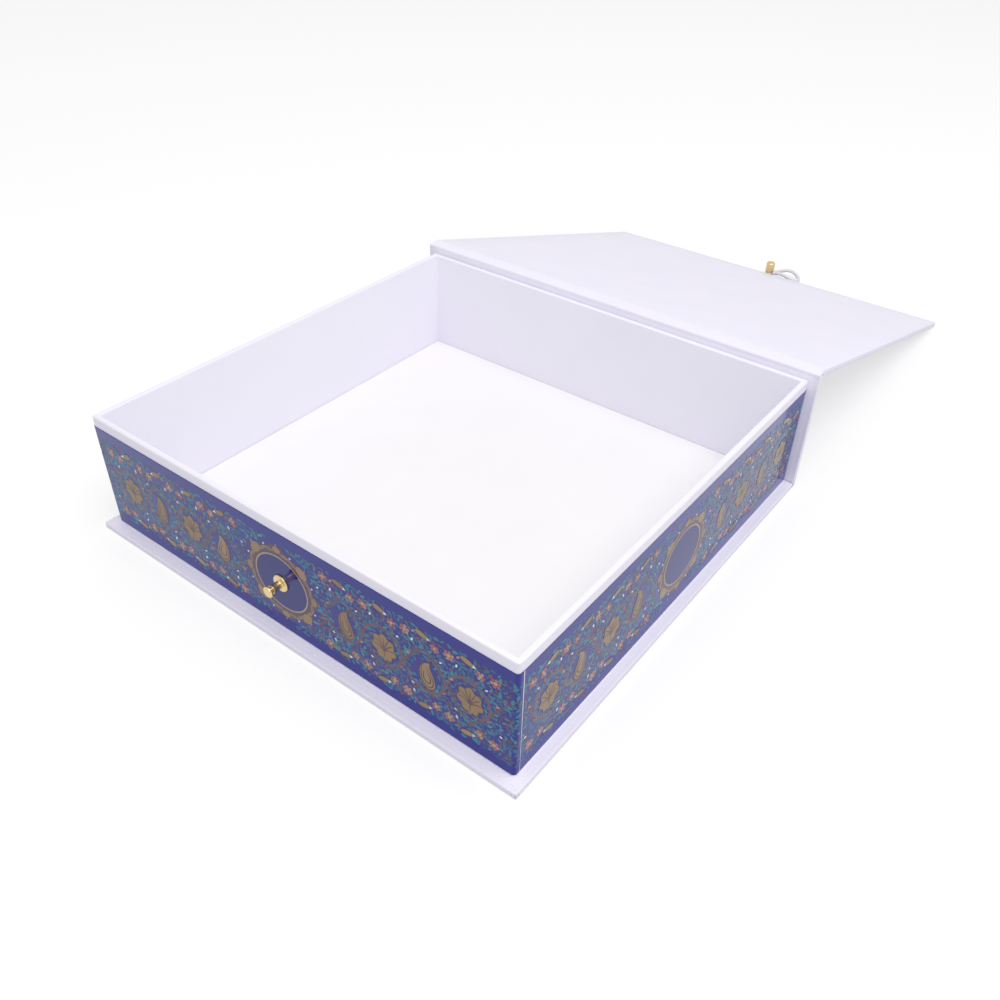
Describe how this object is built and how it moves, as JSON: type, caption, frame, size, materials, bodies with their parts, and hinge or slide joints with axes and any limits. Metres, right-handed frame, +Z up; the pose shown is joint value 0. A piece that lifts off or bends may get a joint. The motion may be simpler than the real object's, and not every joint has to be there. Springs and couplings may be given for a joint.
{
  "type": "book-style gift box",
  "caption": "Shallow square gift box like a book: wrapped board tray with a printed band, glued into a hinged white case, closed by a cord loop over a brass stud.",
  "frame": {"origin": "on the base's underside, under the middle of the tray", "axes": "+X to the right seen from the front, +Y from the front wall towards the spine and the open lid, +Z up"},
  "size_m": [0.2084, 0.4141, 0.0572],
  "materials": {
    "greyboard": "raw grey binder's board",
    "stay_tape": "kraft paper tape",
    "white_paper": "white coated paper, satin film",
    "printed_paper": "printed paper under gloss film",
    "brass": "polished",
    "cord": "white elastic cord"
  },
  "bodies": {
    "tray_and_case": {"tray_floor_board": "greyboard", "front_wall_board": "greyboard", "rear_wall_board": "greyboard", "left_wall_board": "greyboard", "right_wall_board": "greyboard", "corner_stay_front_left": "stay_tape", "corner_stay_front_right": "stay_tape", "corner_stay_rear_left": "stay_tape", "corner_stay_rear_right": "stay_tape", "tray_wrap": "white_paper", "floor_lining": "white_paper", "front_print": "printed_paper", "left_print": "printed_paper", "right_print": "printed_paper", "base_board": "greyboard", "base_cover": "white_paper", "base_liner": "white_paper", "lower_joint_strip": "white_paper", "spine_board": "greyboard", "spine_cover": "white_paper", "spine_liner": "white_paper", "closure_stud": "brass", "stud_screw": "brass"},
    "hinge": {"hinge_cover_strip": "white_paper", "hinge_liner_strip": "white_paper"},
    "lid": {"lid_board": "greyboard", "lid_cover": "white_paper", "lid_liner": "white_paper", "closure_tab": "white_paper", "loop_post": "brass", "post_washer": "brass"},
    "loop": {"closure_loop": "cord"}
  },
  "joints": [
    {"name": "hinge_fold", "type": "hinge", "parent": "tray_and_case", "child": "hinge", "pos_m": [0, 0.1008, 0.0556], "axis": [1, 0, 0], "range_deg": [0, 187.23]},
    {"name": "lid_fold", "type": "hinge", "parent": "hinge", "child": "lid", "pos_m": [0, 0.10412, 0.05588], "axis": [1, 0, 0], "range_deg": [0, 8.5]},
    {"name": "loop_swing", "type": "hinge", "parent": "lid", "child": "loop", "pos_m": [0.0029, 0.30142, 0.00275], "axis": [1, 0, 0], "range_deg": [0, 74]}
  ]
}
